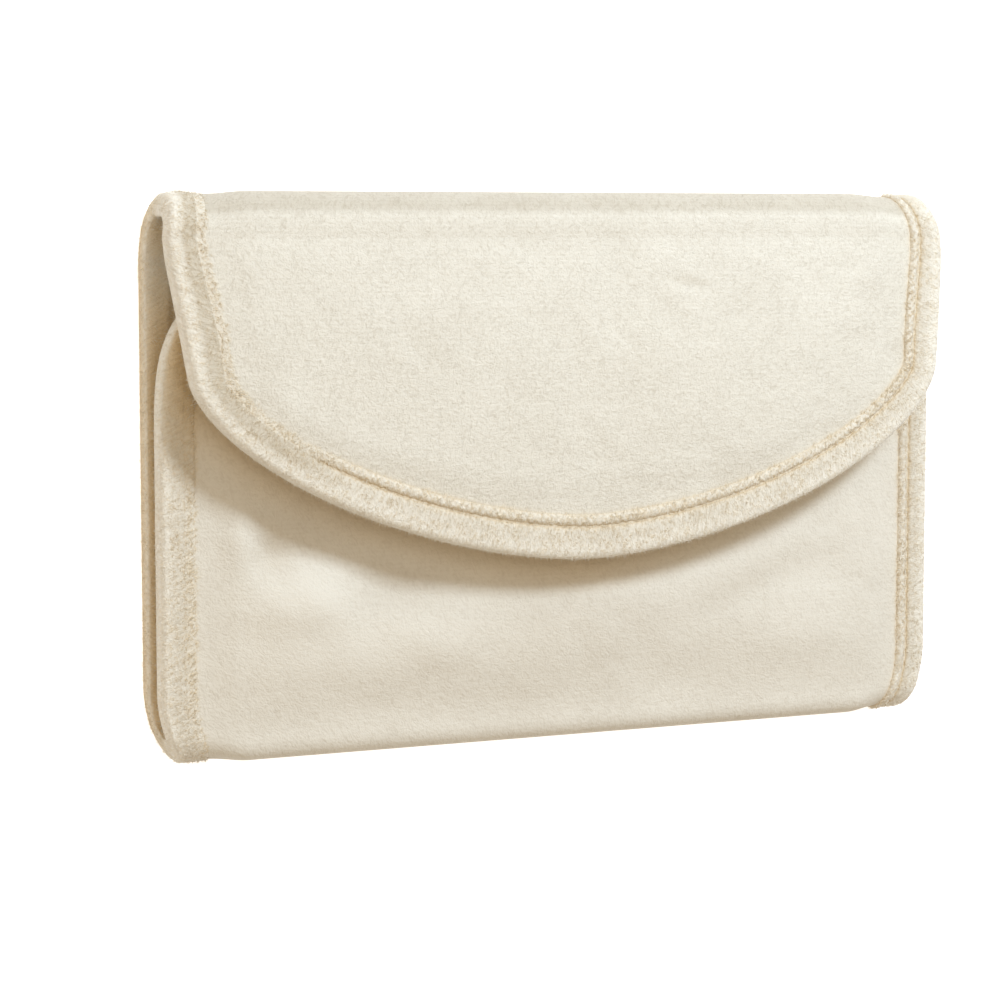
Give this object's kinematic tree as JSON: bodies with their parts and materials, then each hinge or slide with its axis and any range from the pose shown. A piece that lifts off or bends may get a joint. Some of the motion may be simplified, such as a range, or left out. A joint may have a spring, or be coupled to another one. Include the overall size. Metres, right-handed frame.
{
  "type": "jewelry roll",
  "caption": "Padded velvet jewelry roll folded in three, with bound edges and a rounded flap over the front; it unfolds flat to a zip pocket, a ring bar and a slip pocket",
  "frame": {"origin": "centre of the bounding box's footprint, on the back panel's outer face", "axes": "+X along the roll to the viewer's right, +Y to the top fold, +Z out of the front face"},
  "size_m": [0.236, 0.152, 0.0349],
  "materials": {
    "velvet": "cream velvet pile",
    "wadding": "soft white wadding",
    "lining": "short cream velvet",
    "binding": "cream velvet tape, folded and stitched",
    "zip_tape": "woven tape",
    "zip_coil": "nylon coil",
    "metal": "pale polished metal",
    "magnet": "flexible magnet strip"
  },
  "bodies": {
    "back_panel": {"back_velvet": "velvet", "back_wadding": "wadding", "back_lining": "lining", "back_binding_left": "binding", "back_binding_right": "binding", "ring_bar": "velvet", "ring_bar_sewn_tab": "velvet", "ring_bar_snap_tab": "velvet", "ring_bar_snap_base": "metal", "ring_bar_snap_cap": "metal", "pocket_panel": "lining", "pocket_facing": "lining", "zip_tape_lower": "zip_tape", "zip_tape_upper": "zip_tape", "zip_coil_lower": "zip_coil", "zip_coil_upper": "zip_coil", "zip_stop_left": "metal", "zip_stop_right": "metal"},
    "bottom_fold": {"bottom_fold_velvet": "velvet", "bottom_fold_wadding": "wadding", "bottom_fold_lining": "lining", "bottom_fold_binding_left": "binding", "bottom_fold_binding_right": "binding"},
    "front_panel": {"front_velvet": "velvet", "front_wadding": "wadding", "front_lining": "lining", "front_binding": "binding", "front_magnet_strip": "magnet", "slip_pocket": "lining", "slip_pocket_hem": "binding"},
    "top_fold": {"top_fold_velvet": "velvet", "top_fold_wadding": "wadding", "top_fold_lining": "lining", "top_fold_binding_left": "binding", "top_fold_binding_right": "binding"},
    "flap": {"flap_velvet": "velvet", "flap_wadding": "wadding", "flap_lining": "lining", "flap_binding": "binding", "flap_magnet_strip": "magnet"},
    "zip_slider": {"zip_slider": "metal"},
    "zip_pull": {"zip_pull": "metal"}
  },
  "joints": [
    {"name": "bottom_fold_rear", "type": "hinge", "parent": "back_panel", "child": "bottom_fold", "pos_m": [0, -0.07307, 0.00293], "axis": [1, 0, 0], "range_deg": [0, 85.5], "deforming": ["flap_velvet", "flap_wadding", "flap_lining", "flap_binding", "flap_magnet_strip"]},
    {"name": "bottom_fold_front", "type": "hinge", "parent": "bottom_fold", "child": "front_panel", "pos_m": [0, -0.07366, 0.01666], "axis": [1, 0, 0], "range_deg": [0, 85.5]},
    {"name": "top_fold_rear", "type": "hinge", "parent": "back_panel", "child": "top_fold", "pos_m": [0, 0.07307, 0.00293], "axis": [-1, 0, 0], "range_deg": [0, 85.5]},
    {"name": "top_fold_front", "type": "hinge", "parent": "top_fold", "child": "flap", "pos_m": [0, 0.07249, 0.02249], "axis": [-1, 0, 0], "range_deg": [0, 85.5]},
    {"name": "zip_slide", "type": "slide", "parent": "back_panel", "child": "zip_slider", "axis": [-1, 0, 0], "range_m": [0, 0.148]},
    {"name": "zip_pull_swing", "type": "hinge", "parent": "zip_slider", "child": "zip_pull", "pos_m": [0.0715, 0.04, 0.0119], "axis": [0, 0, 1], "range_deg": [-30, 30]}
  ],
  "couplings": [
    {"joint": "bottom_fold_front", "follows": "bottom_fold_rear", "ratio": 1},
    {"joint": "top_fold_front", "follows": "top_fold_rear", "ratio": 1}
  ]
}
